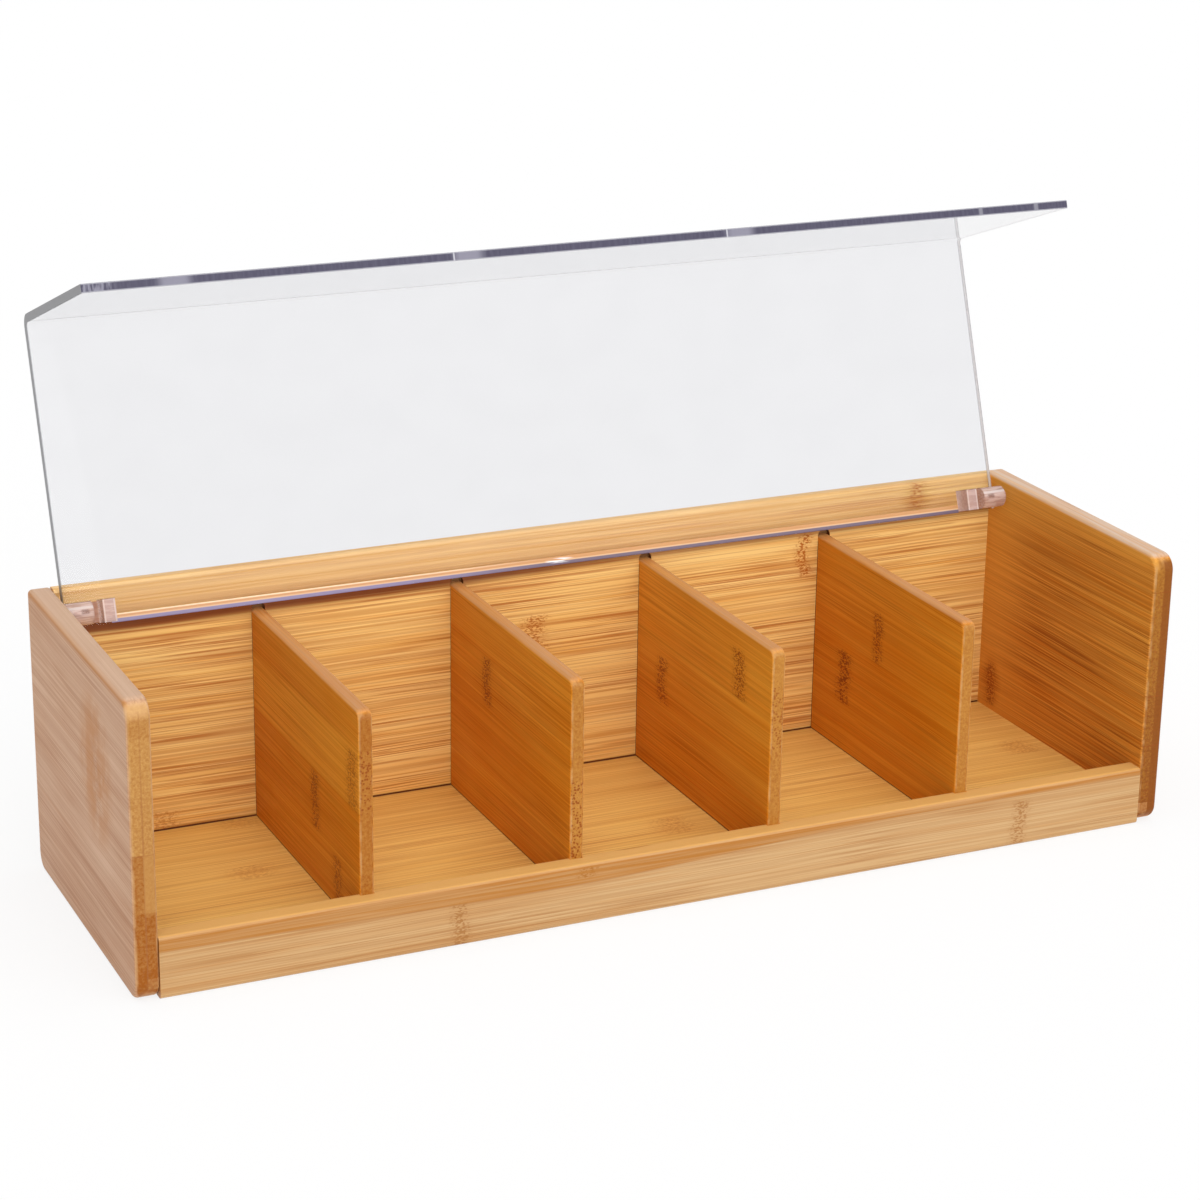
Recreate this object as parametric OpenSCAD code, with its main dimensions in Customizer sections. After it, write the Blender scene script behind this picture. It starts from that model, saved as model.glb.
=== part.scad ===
// Open-front tea bag organizer: a bamboo box of five bays with a bent clear lid.
// The lid turns on two clear hinges and is shown open, leaning on the back panel.
// X runs to the right, Y to the back and Z up. The origin is the middle of the back panel's
// underside, on the surface that the box stands on.

/* [Box] */
// Clear width of one bay
bay_w = 70; // [55:1:90]
// Depth from the front edges of the sides to the back
box_d = 118; // [90:1:160]
// Height of the side panels and of the back
box_h = 102.4; // [85:0.1:130]
// Thickness of the side panels
side_t = 8; // [7:0.5:12]
// Thickness of the back panel
back_t = 5; // [4:0.5:9]
// Radius of a side panel's corners, seen from the side
side_corner_r = 6; // [3:0.5:12]
// Radius of the side panels' top rear corners, where the back panel meets them
rear_corner_r = 2; // [1.6:0.1:3]
// Radius of the eased edges of the panels
ease_r = 1.5; // [0.5:0.1:2]

/* [Front rail] */
// Height of the rail
rail_h = 21.7; // [18:0.1:35]
// Thickness of the rail
rail_t = 8; // [7:0.5:12]
// Diameter of the dowel in each end of the rail
dowel_d = 5; // [3:0.5:5]
// Length of a dowel
dowel_l = 20; // [14:1:30]

/* [Floor] */
// Thickness of the floor panel
floor_t = 4; // [3:0.5:6]
// Height of the floor's underside above the table
floor_z = 4; // [3:0.5:8]
// Depth of the floor's groove in the sides and in the rail
groove_depth = 4; // [2:0.5:5]
// Depth of the floor's groove in the back panel
back_groove_depth = 2.5; // [1:0.5:3]

/* [Dividers] */
// Thickness of a divider
divider_t = 5; // [3:0.5:8]
// Distance from the top of the sides down to the top of a divider
divider_drop = 16.4; // [15:0.1:40]
// Depth of the housings for the dividers in the back panel
housing_depth = 2; // [1:0.5:3]
// Gap between the closed lip and the dividers
divider_lip_gap = 2; // [1:0.1:3]
// Radius of a divider's top front corner
divider_corner_r = 3.5; // [2:0.5:10]
// Radius of the eased edges of a divider
divider_ease_r = 1.2; // [0.5:0.1:1.4]

/* [Lid] */
// Thickness of the clear sheet
lid_t = 3; // [2:0.5:4]
// Inner radius of the bend
bend_r = 1.5; // [1:0.5:4]
// Gap between the lid and each side panel
lid_side_gap = 2; // [1:0.5:5]
// Distance of the closed lid's lip behind the front edges of the sides
lip_setback = 0.6; // [0.2:0.1:1.5]
// Gap between the closed lip and the rail
lip_gap = 0.6; // [0.2:0.1:2]
// Distance that the sheet runs on past the hinge axis
lid_tail = 4.4; // [2:0.1:6]
// Angle from closed to open
open_angle = 110; // [104:1:120]

/* [Hinges] */
// Height of the hinge axis below the top of the sides
axis_drop = 6.4; // [6:0.1:12]
// Radius of a hinge barrel
barrel_r = 4; // [3:0.1:5]
// Length of a hinge barrel
barrel_l = 10; // [9:0.5:20]
// Chamfer of a barrel's outer end
barrel_chamfer = 0.8; // [0.2:0.1:1.5]
// Distance between the barrel and the end block
recess_l = 3.2; // [2:0.1:6]
// Length of the end block
block_l = 4.4; // [3:0.1:8]
// Thickness of the foot that is glued to the lid
foot_t = 1.5; // [0.8:0.1:1.5]
// Half the width of the foot
foot_half_w = 3.6; // [3:0.1:3.8]
// Gap between a barrel and the side panel
barrel_end_gap = 0.3; // [0.2:0.1:1]
// Radius of a hinge pin
pin_r = 1; // [0.8:0.1:1.5]
// Length of the pin in the side panel
pin_in_side = 5.5; // [3:0.5:6]
// Length of the bore past the end of the pin
pin_end_gap = 1.6; // [0.5:0.1:2]
// Radial clearance of the pin in the barrel
pin_clearance = 0.05; // [0.02:0.01:0.1]

/* [Hidden] */
$fn = 48;

bay_count = 5;
cut = 1;                    // how far a cutter runs past the face it opens
tongue_share = 0.5;         // share of the back panel's thickness left in its end tongues
tongue_l = 3;               // length of those tongues
tongue_stop = 12;           // distance from the box's top and bottom to the ends of their grooves
blind_wall = 2;             // material left past the dowel's hole in a side panel
dowel_end_gap = 0.5;        // room past each end of a dowel
bore_end_wall = 0.9;        // material left between the barrel's bore and the recess
stop_gap = 0.07;            // gap between the open lid and the edge that it leans on

inner_w = bay_count * bay_w + (bay_count - 1) * divider_t;
box_w = inner_w + 2 * side_t;
rear_y = back_t / 2;
front_y = rear_y - box_d;
floor_top = floor_z + floor_t;
divider_top = box_h - divider_drop;
divider_h = divider_top - floor_top;
back_y = rear_y - back_t;
divider_y0 = front_y + lip_setback + lid_t + divider_lip_gap;
divider_y1 = back_y + housing_depth;
floor_y0 = front_y + rail_t - groove_depth;
floor_y1 = back_y + back_groove_depth;
dowel_z = (floor_top + rail_h) / 2;
dowel_in_side = side_t - blind_wall - dowel_end_gap;

// The barrels lie against the lid's inner face, and the open lid's outer face leans on the eased
// top edge of the back panel, whose centre of curvature is stop_rise above the hinge axis.
lid_inner = barrel_r;
lid_outer = lid_inner + lid_t;
stop_rise = axis_drop - ease_r;
stop_reach = lid_outer + ease_r + stop_gap;
axis_y = back_y + ease_r - (stop_reach - stop_rise * cos(open_angle)) / sin(open_angle);
axis_z = box_h - axis_drop;

lid_w = inner_w - 2 * lid_side_gap;
lid_reach = axis_y - front_y - lip_setback;
lip_l = axis_z + lid_outer - rail_h - lip_gap;

function divider_x(i) = -inner_w / 2 + i * bay_w + (i - 1) * divider_t;

bamboo_side = [0.80, 0.63, 0.46];
bamboo_face = [0.86, 0.66, 0.38];
bamboo_dark = [0.72, 0.45, 0.20];
bamboo_pale = [0.90, 0.74, 0.52];
clear_sheet = [0.86, 0.88, 0.92, 0.35];
clear_mould = [0.90, 0.88, 0.86, 0.55];
pin_metal = [0.70, 0.70, 0.72];

// Takes a square edge along +X off, with the material towards +Y and +Z, and leaves radius r.
// over is how far the cutter runs past each end.
module edge_cutter(length, r, over = cut) {
    difference() {
        translate([-over, -cut, -cut])
            cube([length + 2 * over, r + cut, r + cut]);
        translate([-over - cut, r, r])
            rotate([0, 90, 0])
                cylinder(r = r, h = length + 2 * over + 2 * cut);
    }
}

// Eases the rim of a rounded corner of radius corner_r, whose centre is the origin and whose
// arc runs from +X to +Y, on the face at z = 0 with the material above it.
module arc_cutter(corner_r, r) {
    rotate_extrude(angle = 90)
        difference() {
            translate([corner_r - r, -cut])
                square([r + cut, r + cut]);
            translate([corner_r - r, r])
                circle(r = r);
        }
}

// One rounded corner of a plate t thick: the corner point is the origin, the plate lies towards
// +X and +Y, and both rims are eased by r.
module corner_cutter(t, corner_r, r) {
    difference() {
        translate([-cut, -cut, -cut])
            cube([corner_r + cut, corner_r + cut, t + 2 * cut]);
        translate([corner_r, corner_r, -2 * cut])
            cylinder(r = corner_r, h = t + 4 * cut);
    }
    translate([corner_r, corner_r, 0])
        rotate([0, 0, 180])
            arc_cutter(corner_r, r);
    translate([corner_r, corner_r, t])
        mirror([0, 0, 1])
            rotate([0, 0, 180])
                arc_cutter(corner_r, r);
}

// Straight eased rims along +X on both faces of a plate t thick that lies towards +Y.
module rim_cutter(length, t, r) {
    edge_cutter(length, r, 0);
    translate([0, 0, t])
        mirror([0, 0, 1])
            edge_cutter(length, r, 0);
}

// A side panel before its grooves and holes are cut: depth along Y, height along Z and the
// thickness from x = 0 towards +X.
module side_blank() {
    straight_top = box_d - side_corner_r - rear_corner_r;
    straight_rear = box_h - side_corner_r - rear_corner_r;
    straight_bottom = box_d - 2 * side_corner_r;
    straight_front = box_h - 2 * side_corner_r;
    translate([0, front_y, 0])
        rotate([90, 0, 90])
            difference() {
                cube([box_d, box_h, side_t]);
                corner_cutter(side_t, side_corner_r, ease_r);
                translate([box_d, 0, 0])
                    rotate([0, 0, 90])
                        corner_cutter(side_t, side_corner_r, ease_r);
                translate([box_d, box_h, 0])
                    rotate([0, 0, 180])
                        corner_cutter(side_t, rear_corner_r, ease_r);
                translate([0, box_h, 0])
                    rotate([0, 0, 270])
                        corner_cutter(side_t, side_corner_r, ease_r);
                translate([side_corner_r, 0, 0])
                    rim_cutter(straight_bottom, side_t, ease_r);
                translate([box_d, side_corner_r, 0])
                    rotate([0, 0, 90])
                        rim_cutter(straight_rear, side_t, ease_r);
                translate([box_d - rear_corner_r, box_h, 0])
                    rotate([0, 0, 180])
                        rim_cutter(straight_top, side_t, ease_r);
                translate([0, box_h - side_corner_r, 0])
                    rotate([0, 0, 270])
                        rim_cutter(straight_front, side_t, ease_r);
            }
}

// The left side panel, with the grooves and holes of its inner face.
module side_panel() {
    difference() {
        translate([-box_w / 2, 0, 0])
            side_blank();
        translate([-inner_w / 2 - groove_depth, front_y - cut, floor_z])
            cube([groove_depth + cut, floor_y1 - front_y + cut, floor_t]);
        translate([-inner_w / 2 - tongue_l, back_y, tongue_stop])
            cube([tongue_l + cut, back_t * tongue_share, box_h - 2 * tongue_stop]);
        translate([-inner_w / 2 - dowel_in_side - dowel_end_gap, front_y + rail_t / 2, dowel_z])
            rotate([0, 90, 0])
                cylinder(d = dowel_d, h = dowel_in_side + dowel_end_gap + cut);
        translate([-inner_w / 2 - pin_in_side, axis_y, axis_z])
            rotate([0, 90, 0])
                cylinder(r = pin_r, h = pin_in_side + cut);
    }
}

module left_side_panel() {
    color(bamboo_side)
        side_panel();
}

module right_side_panel() {
    color(bamboo_side)
        mirror([1, 0, 0])
            side_panel();
}

// The back panel stands between the sides on two stub tongues. A housing with a round router
// end takes each divider, and a groove takes the floor.
module back_panel() {
    color(bamboo_face)
        difference() {
            union() {
                translate([-inner_w / 2, back_y, 0])
                    cube([inner_w, back_t, box_h]);
                translate([-inner_w / 2 - tongue_l, back_y, tongue_stop])
                    cube([inner_w + 2 * tongue_l, back_t * tongue_share, box_h - 2 * tongue_stop]);
            }
            translate([-inner_w / 2, back_y, box_h])
                mirror([0, 0, 1])
                    edge_cutter(inner_w, ease_r);
            translate([-inner_w / 2, rear_y, box_h])
                mirror([0, 0, 1])
                    mirror([0, 1, 0])
                        edge_cutter(inner_w, ease_r);
            translate([-inner_w / 2 - tongue_l - cut, back_y - cut, floor_z])
                cube([inner_w + 2 * tongue_l + 2 * cut, back_groove_depth + cut, floor_t]);
            for (i = [1 : bay_count - 1])
                translate([divider_x(i), back_y - cut, floor_top])
                    divider_housing();
        }
}

module divider_housing() {
    cube([divider_t, housing_depth + cut, divider_h]);
    translate([divider_t / 2, 0, divider_h])
        rotate([-90, 0, 0])
            cylinder(d = divider_t, h = housing_depth + cut);
}

module floor_panel() {
    color(bamboo_face)
        translate([-inner_w / 2 - groove_depth, floor_y0, floor_z])
            cube([inner_w + 2 * groove_depth, floor_y1 - floor_y0, floor_t]);
}

// The rail closes the front below the lid's lip. Its back has a groove for the floor and a
// notch for each divider, and a dowel holds each end.
module front_rail() {
    color(bamboo_pale)
        difference() {
            translate([-inner_w / 2, front_y, 0])
                cube([inner_w, rail_t, rail_h]);
            translate([-inner_w / 2, front_y, rail_h])
                mirror([0, 0, 1])
                    edge_cutter(inner_w, ease_r);
            translate([-inner_w / 2, front_y, 0])
                edge_cutter(inner_w, ease_r);
            translate([-inner_w / 2, front_y + rail_t, rail_h])
                mirror([0, 0, 1])
                    mirror([0, 1, 0])
                        edge_cutter(inner_w, ease_r);
            translate([-inner_w / 2 - cut, floor_y0, floor_z])
                cube([inner_w + 2 * cut, rail_t, floor_t]);
            for (i = [1 : bay_count - 1])
                translate([divider_x(i), divider_y0, floor_top])
                    cube([divider_t, rail_t, rail_h]);
            for (side = [0, 1])
                mirror([side, 0, 0])
                    translate([-inner_w / 2 - cut, front_y + rail_t / 2, dowel_z])
                        rotate([0, 90, 0])
                            cylinder(d = dowel_d, h = dowel_l - dowel_in_side + dowel_end_gap + cut);
        }
}

// A divider with its top and front edges eased and its top front corner rounded.
module divider(i) {
    length = divider_y1 - divider_y0;
    color(bamboo_dark)
        translate([divider_x(i), divider_y0, floor_top])
            rotate([90, 0, 90])
                difference() {
                    cube([length, divider_h, divider_t]);
                    translate([0, divider_h, 0])
                        rotate([0, 0, 270])
                            corner_cutter(divider_t, divider_corner_r, divider_ease_r);
                    translate([length + cut, divider_h, 0])
                        rotate([0, 0, 180])
                            rim_cutter(length + cut - divider_corner_r, divider_t, divider_ease_r);
                    translate([0, divider_h - divider_corner_r, 0])
                        rotate([0, 0, 270])
                            rim_cutter(divider_top - rail_h - divider_corner_r, divider_t,
                                       divider_ease_r);
                }
}

// Fills the open front end of the floor's groove, flush with the side panel.
module groove_plug() {
    intersection() {
        translate([-box_w / 2, 0, 0])
            side_blank();
        translate([-inner_w / 2 - groove_depth, front_y - cut, floor_z])
            cube([groove_depth, floor_y0 - front_y + cut, floor_t]);
    }
}

module groove_plug_left() {
    color(bamboo_pale)
        groove_plug();
}

module groove_plug_right() {
    color(bamboo_pale)
        mirror([1, 0, 0])
            groove_plug();
}

module rail_dowel() {
    translate([-inner_w / 2 - dowel_in_side, front_y + rail_t / 2, dowel_z])
        rotate([0, 90, 0])
            cylinder(d = dowel_d, h = dowel_l);
}

module rail_dowel_left() {
    color(bamboo_pale)
        rail_dowel();
}

module rail_dowel_right() {
    color(bamboo_pale)
        mirror([1, 0, 0])
            rail_dowel();
}

// Puts a piece of the lid in its open place. The piece is drawn closed, with the hinge axis
// along X through the origin, the front towards -Y and the lid's inner face at lid_inner.
module opened() {
    translate([0, axis_y, axis_z])
        rotate([-open_angle, 0, 0])
            children();
}

// One clear sheet, bent square into the cover and the lip.
module lid() {
    outer_r = bend_r + lid_t;
    color(clear_sheet)
        opened()
            translate([-lid_w / 2, -lid_reach, lid_outer - lip_l])
                difference() {
                    cube([lid_w, lid_reach + lid_tail, lip_l]);
                    translate([0, 0, lip_l])
                        mirror([0, 0, 1])
                            edge_cutter(lid_w, outer_r);
                    difference() {
                        translate([-cut, lid_t, -cut])
                            cube([lid_w + 2 * cut, lid_reach + lid_tail, lip_l - lid_t + cut]);
                        translate([-cut, lid_t, lip_l - lid_t])
                            mirror([0, 0, 1])
                                edge_cutter(lid_w + 2 * cut, bend_r);
                    }
                }
}

// A clear moulding glued to the lid: one foot carries the barrel beside the side panel and, past
// a recess, the end block. The barrel's blind bore runs on the pin.
module hinge_block() {
    foot_l = barrel_l + recess_l + block_l - barrel_chamfer;
    opened()
        translate([-inner_w / 2 + barrel_end_gap, 0, 0])
            difference() {
                union() {
                    rotate([0, 90, 0])
                        cylinder(r1 = barrel_r - barrel_chamfer, r2 = barrel_r, h = barrel_chamfer);
                    translate([barrel_chamfer, 0, 0])
                        rotate([0, 90, 0])
                            cylinder(r = barrel_r, h = barrel_l - barrel_chamfer);
                    translate([barrel_chamfer, -foot_half_w, 0])
                        cube([barrel_l - barrel_chamfer, 2 * foot_half_w, lid_inner]);
                    translate([barrel_chamfer, -foot_half_w, lid_inner - foot_t])
                        cube([foot_l, 2 * foot_half_w, foot_t]);
                    translate([barrel_l + recess_l, -barrel_r, -barrel_r])
                        cube([block_l, 2 * barrel_r, barrel_r + lid_inner]);
                }
                translate([-cut, 0, 0])
                    rotate([0, 90, 0])
                        cylinder(r = pin_r + pin_clearance, h = barrel_l - bore_end_wall + cut);
            }
}

module hinge_block_left() {
    color(clear_mould)
        hinge_block();
}

module hinge_block_right() {
    color(clear_mould)
        mirror([1, 0, 0])
            hinge_block();
}

// A pin pressed into the side panel. Its free end stops short of the end of the barrel's bore.
module hinge_pin() {
    free_l = barrel_end_gap + barrel_l - bore_end_wall - pin_end_gap;
    translate([-inner_w / 2 - pin_in_side, axis_y, axis_z])
        rotate([0, 90, 0])
            cylinder(r = pin_r, h = pin_in_side + free_l);
}

module hinge_pin_left() {
    color(pin_metal)
        hinge_pin();
}

module hinge_pin_right() {
    color(pin_metal)
        mirror([1, 0, 0])
            hinge_pin();
}

left_side_panel();
right_side_panel();
back_panel();
floor_panel();
front_rail();
divider(1);  // divider_1
divider(2);  // divider_2
divider(3);  // divider_3
divider(4);  // divider_4
groove_plug_left();
groove_plug_right();
rail_dowel_left();
rail_dowel_right();
lid();
hinge_block_left();
hinge_block_right();
hinge_pin_left();
hinge_pin_right();
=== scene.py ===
"""Finishes, stage and camera for a tea bag organizer box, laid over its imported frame."""

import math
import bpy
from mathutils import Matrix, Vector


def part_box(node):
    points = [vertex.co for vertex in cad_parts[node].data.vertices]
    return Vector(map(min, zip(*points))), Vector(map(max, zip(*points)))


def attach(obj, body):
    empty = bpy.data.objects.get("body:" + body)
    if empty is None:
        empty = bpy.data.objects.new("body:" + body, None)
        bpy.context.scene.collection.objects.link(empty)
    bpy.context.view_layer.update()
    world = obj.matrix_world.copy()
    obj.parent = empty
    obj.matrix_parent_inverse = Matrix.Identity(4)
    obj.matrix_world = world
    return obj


bl_info = {
    "name": "Tea Bag Organizer Box",
    "version": (1, 0, 0),
    "blender": (4, 5, 0),
    "location": "View3D > Sidebar > Tea Box",
    "description": "Dresses a five-bay bamboo tea box and its clear folding lid",
    "category": "Object",
}

import bmesh
import bpy
from bpy.props import FloatProperty, FloatVectorProperty, PointerProperty
from mathutils import Matrix, Vector

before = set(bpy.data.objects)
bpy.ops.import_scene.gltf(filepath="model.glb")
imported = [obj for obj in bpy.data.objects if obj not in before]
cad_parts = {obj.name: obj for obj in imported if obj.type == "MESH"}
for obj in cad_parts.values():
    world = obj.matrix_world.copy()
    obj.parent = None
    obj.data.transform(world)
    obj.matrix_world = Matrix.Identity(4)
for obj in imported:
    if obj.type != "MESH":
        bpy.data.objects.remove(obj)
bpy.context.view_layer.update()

MM = 0.001

# Planes of the box in millimetres. The left side panel is the right one mirrored.
FRONT, BACK_FACE, OUTER = -115.5, -2.5, 193.0
SIDE_TOP, DIVIDER_TOP, RAIL_TOP, FLOOR_TOP = 102.4, 86.0, 21.7, 8.0

# Marks that two steps share: a cloud on the left side, and knots on the right side and the back.
LEFT_CLOUD = (-77.0, 66.0)
RIGHT_KNOT = (-11.0, 18.5)
BACK_KNOT = (152.0, 97.0)

# The lid's bent sheet: half its width, its lean when open, and its bend and flap.
SHEET_W = (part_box("lid")[1][0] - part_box("lid")[0][0]) / 2
LEAN = math.radians(20)
LEAN_SIN, LEAN_COS = math.sin(LEAN), math.cos(LEAN)
SHEET_THICK = 3.0 * MM
BEND_INSIDE = 1.5 * MM
FLAP_REACH = 77.7 * MM
FLAP_RISE = 107.4 * MM

# Tones of each kind of bamboo piece, as the shader group names them.
TONES = ("Pale", "Deep", "Streak", "Fibre", "End Pale", "End Deep")

# Linear colours of the small bright and dark marks on the clear parts and the pins. The glint and the moulding's white
# are painted highlights.
CUT_WHITE = (0.75, 0.75, 0.8)
GLINT_WHITE = (0.95, 0.95, 0.97)
MOULDING_HIGHLIGHT = (0.95, 0.9, 0.9)
STEEL_SHADE = (0.6, 0.54, 0.5)
PAPER_WHITE = (0.9, 0.9, 0.9)
WHITE = (1.0, 1.0, 1.0)


# ---------- sizes and colours


def paint(red, green, blue):
    """The linear colour of a paint chip written as 0 to 255 screen values."""
    chip = [value / 255 for value in (red, green, blue)]
    return tuple(c / 12.92 if c <= 0.04045 else ((c + 0.055) / 1.055) ** 2.4 for c in chip)


def colour(name, description, *chip):
    """A colour that a user can change, given as a paint chip."""
    return FloatVectorProperty(
        name=name, description=description, default=paint(*chip), size=3, min=0, max=1, subtype="COLOR"
    )


def wood(piece, tone, *chip):
    """One tone of one kind of bamboo piece, given as a paint chip."""
    return colour("%s, %s" % (piece, tone), "The bamboo's %s tone" % tone, *chip)


def angle(name, description, degrees):
    """An angle that a user can change, given in degrees."""
    return FloatProperty(name=name, description=description, default=math.radians(degrees), subtype="ANGLE")


def power(name, description, default):
    """A lamp's strength that a user can change."""
    return FloatProperty(name=name, description=description, default=default, min=0)


def share(name, description, default):
    """A share from 0 to 1 that a user can change."""
    return FloatProperty(name=name, description=description, default=default, min=0, max=1, subtype="FACTOR")


class TEABOX_PG_bamboo(bpy.types.PropertyGroup):
    """Colours and grain of the laminated bamboo."""

    # The left side's tones are paler and pinker than the right side's: partly the bamboo's own tone, partly painted
    # sheen, the white room's reflection at a grazing angle.
    side_pale: wood("Left side", "pale", 204, 162, 127)
    side_deep: wood("Left side", "deep", 180, 128, 89)
    side_streak: wood("Left side", "streak", 180, 116, 50)
    side_fibre: wood("Left side", "fibre", 144, 88, 44)
    side_end_pale: wood("Left side", "pale end", 182, 136, 74)
    side_end_deep: wood("Left side", "deep end", 143, 77, 6)
    right_pale: wood("Right side", "pale", 226, 160, 66)
    right_deep: wood("Right side", "deep", 192, 108, 18)
    right_streak: wood("Right side", "streak", 196, 112, 24)
    right_fibre: wood("Right side", "fibre", 138, 66, 6)
    right_end_pale: wood("Right side", "pale end", 172, 117, 36)
    right_end_deep: wood("Right side", "deep end", 124, 64, 0)
    back_pale: wood("Back", "pale", 240, 204, 130)
    back_deep: wood("Back", "deep", 222, 162, 70)
    back_streak: wood("Back", "streak", 216, 138, 42)
    back_fibre: wood("Back", "fibre", 172, 94, 28)
    back_end_pale: wood("Back", "pale end", 196, 138, 76)
    back_end_deep: wood("Back", "deep end", 160, 96, 36)
    floor_pale: wood("Floor", "pale", 240, 199, 114)
    floor_deep: wood("Floor", "deep", 224, 171, 82)
    floor_streak: wood("Floor", "streak", 206, 138, 50)
    floor_fibre: wood("Floor", "fibre", 180, 108, 38)
    floor_end_pale: wood("Floor", "pale end", 190, 128, 64)
    floor_end_deep: wood("Floor", "deep end", 160, 96, 36)
    divider_pale: wood("Divider", "pale", 228, 158, 50)
    divider_deep: wood("Divider", "deep", 201, 114, 3)
    divider_streak: wood("Divider", "streak", 198, 114, 12)
    divider_fibre: wood("Divider", "fibre", 132, 60, 0)
    divider_end_pale: wood("Divider", "pale end", 182, 128, 54)
    divider_end_deep: wood("Divider", "deep end", 148, 82, 10)
    rail_pale: wood("Rail", "pale", 190, 154, 107)
    rail_deep: wood("Rail", "deep", 164, 102, 24)
    rail_streak: wood("Rail", "streak", 176, 116, 50)
    rail_fibre: wood("Rail", "fibre", 150, 98, 44)
    rail_end_pale: wood("Rail", "pale end", 196, 142, 84)
    rail_end_deep: wood("Rail", "deep end", 160, 100, 42)
    rail_top: colour("Rail, top", "Golden top of the front rail", 218, 166, 92)
    # Paler rounded edges: sanded wear and a painted highlight where the roundings catch the light.
    rubbed_and_highlit: colour("Rubbed edge", "Paler sanded edges", 222, 180, 126)
    # Painted sheen: the pinkish tops stand in for the white room reflected at a grazing angle.
    top: colour("Top edge", "Pinkish tops of the side panels", 208, 181, 158)
    # Painted sheen: the dividers' paler tops stand in for the light from above.
    divider_top: colour("Divider, top", "Pale tops of the dividers", 194, 138, 87)
    back_high: colour("Back, high", "The back panel behind the lid", 248, 204, 146)
    foot_shade: colour("Back, shaded", "Dark line under the lid's foot", 112, 46, 0)
    seam: colour("Seam", "Shadow line where two pieces meet", 92, 44, 14)
    gloss: share("Lacquer roughness", "Roughness of the satin lacquer", 0.42)


class TEABOX_PG_clear(bpy.types.PropertyGroup):
    """Colours of the clear plastic parts."""

    sheet: colour("Sheet", "Tint of the lid's sheet", 238, 238, 240)
    sheet_edge: colour("Sawn edge", "Dark violet of the flap's sawn edge", 66, 63, 82)
    sheet_worn: colour("Sawn edge, worn", "Paler marks on the flap's sawn edge", 136, 134, 148)
    foot_violet: colour("Foot, violet", "Lower half of the lid's polished foot", 136, 127, 158)
    foot_blush: colour("Foot, blush", "Middle of the lid's polished foot", 198, 148, 104)
    foot_wood: colour("Foot, wood", "Wood seen through the foot on the right", 198, 146, 96)
    foot_grey: colour("Foot, grey", "Dark band of the foot on the right", 112, 98, 114)
    # Painted highlight: the cream lines along the foot.
    foot_cream_highlight: colour("Foot, cream", "Bright lines along the lid's foot", 238, 208, 170)
    sheet_rim: colour("Sheet ends", "Left and right ends of the lid", 150, 150, 154)
    left_end: colour("Left end", "The lid's left end, in shade", 112, 112, 115)
    right_end: colour("Right end", "The lid's right end, in the light", 250, 250, 252)
    moulding_deep: colour("Moulding, deep", "Darker streaks and recesses of the mouldings", 176, 128, 104)
    moulding_block: colour("Moulding, block", "End blocks of the mouldings", 196, 170, 170)
    # Used for the dark window on the barrel and for painted shade along the mouldings' top.
    moulding_dark: colour("Moulding, dark", "Dark lines of the mouldings", 104, 56, 34)
    moulding: colour("Moulding", "Tint of the hinge mouldings", 234, 212, 204)
    steel: colour("Pin", "Steel of the hinge pins", 222, 206, 198)


class TEABOX_PG_studio(bpy.types.PropertyGroup):
    """Camera and lamps round the box."""

    azimuth: angle("Azimuth", "Camera's angle round the box", -24.82)
    elevation: angle("Elevation", "Camera's angle above the table", 19.10)
    roll: angle("Roll", "Camera's turn about its own axis", 0.87)
    distance: FloatProperty(
        name="Distance", description="From the camera to its target", default=1078.13 * MM, precision=5, unit="LENGTH",
    )
    target: FloatVectorProperty(
        name="Target", description="Point the camera looks at", default=(-6.06 * MM, -57.5 * MM, 93.04 * MM),
        precision=5, subtype="TRANSLATION", unit="LENGTH",
    )
    lens: FloatProperty(name="Lens", description="Focal length on a 36 mm sensor", default=92.92, unit="CAMERA")
    key: power("Key lamp", "Strength of the lamp at the front left", 1.55)
    fill: power("Fill lamp", "Strength of the lamp at the front right", 0.85)
    overhead: power("Overhead lamp", "Strength of the lamp above", 1.1)
    room: share("Room light", "Strength of the light from all round", 0.5)


# ---------- shader helpers


def flat(chip):
    """A colour of three values as a node takes it, with its opacity."""
    return (*chip, 1.0)


def fill(tree, node, inputs):
    """Gives a node's inputs their values, or links them to other nodes."""
    for key, value in inputs.items():
        if isinstance(value, bpy.types.NodeSocket):
            tree.links.new(value, node.inputs[key])
        else:
            node.inputs[key].default_value = value


def put(tree, kind, inputs=None, **settings):
    """Adds one shader node with its settings and inputs."""
    node = tree.nodes.new("ShaderNode" + kind)
    for name, value in settings.items():
        setattr(node, name, value)
    fill(tree, node, inputs or {})
    return node


def calc(tree, operation, first, second=0.0, third=0.0):
    """The result of one sum on values."""
    return put(tree, "Math", {0: first, 1: second, 2: third}, operation=operation).outputs[0]


def times(tree, *values):
    """The product of several values."""
    result = values[0]
    for value in values[1:]:
        result = calc(tree, "MULTIPLY", result, value)
    return result


def most(tree, *values):
    """The largest of several values."""
    result = values[0]
    for value in values[1:]:
        result = calc(tree, "MAXIMUM", result, value)
    return result


def less(tree, first, second):
    """The first value less the second."""
    return calc(tree, "SUBTRACT", first, second)


def scaled(tree, value, by, plus):
    """A value times another, plus a third."""
    return calc(tree, "MULTIPLY_ADD", value, by, plus)


def apart(tree, first, second):
    """How far apart two values are."""
    return calc(tree, "ABSOLUTE", less(tree, first, second))


def span(tree, value, low, high, to_low=0.0, to_high=1.0, smooth=True):
    """Value, brought from low..high to to_low..to_high, with soft ends."""
    kind = "SMOOTHSTEP" if smooth else "LINEAR"
    inputs = {"Value": value, "From Min": low, "From Max": high, "To Min": to_low, "To Max": to_high}
    return put(tree, "MapRange", inputs, interpolation_type=kind).outputs["Result"]


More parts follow.
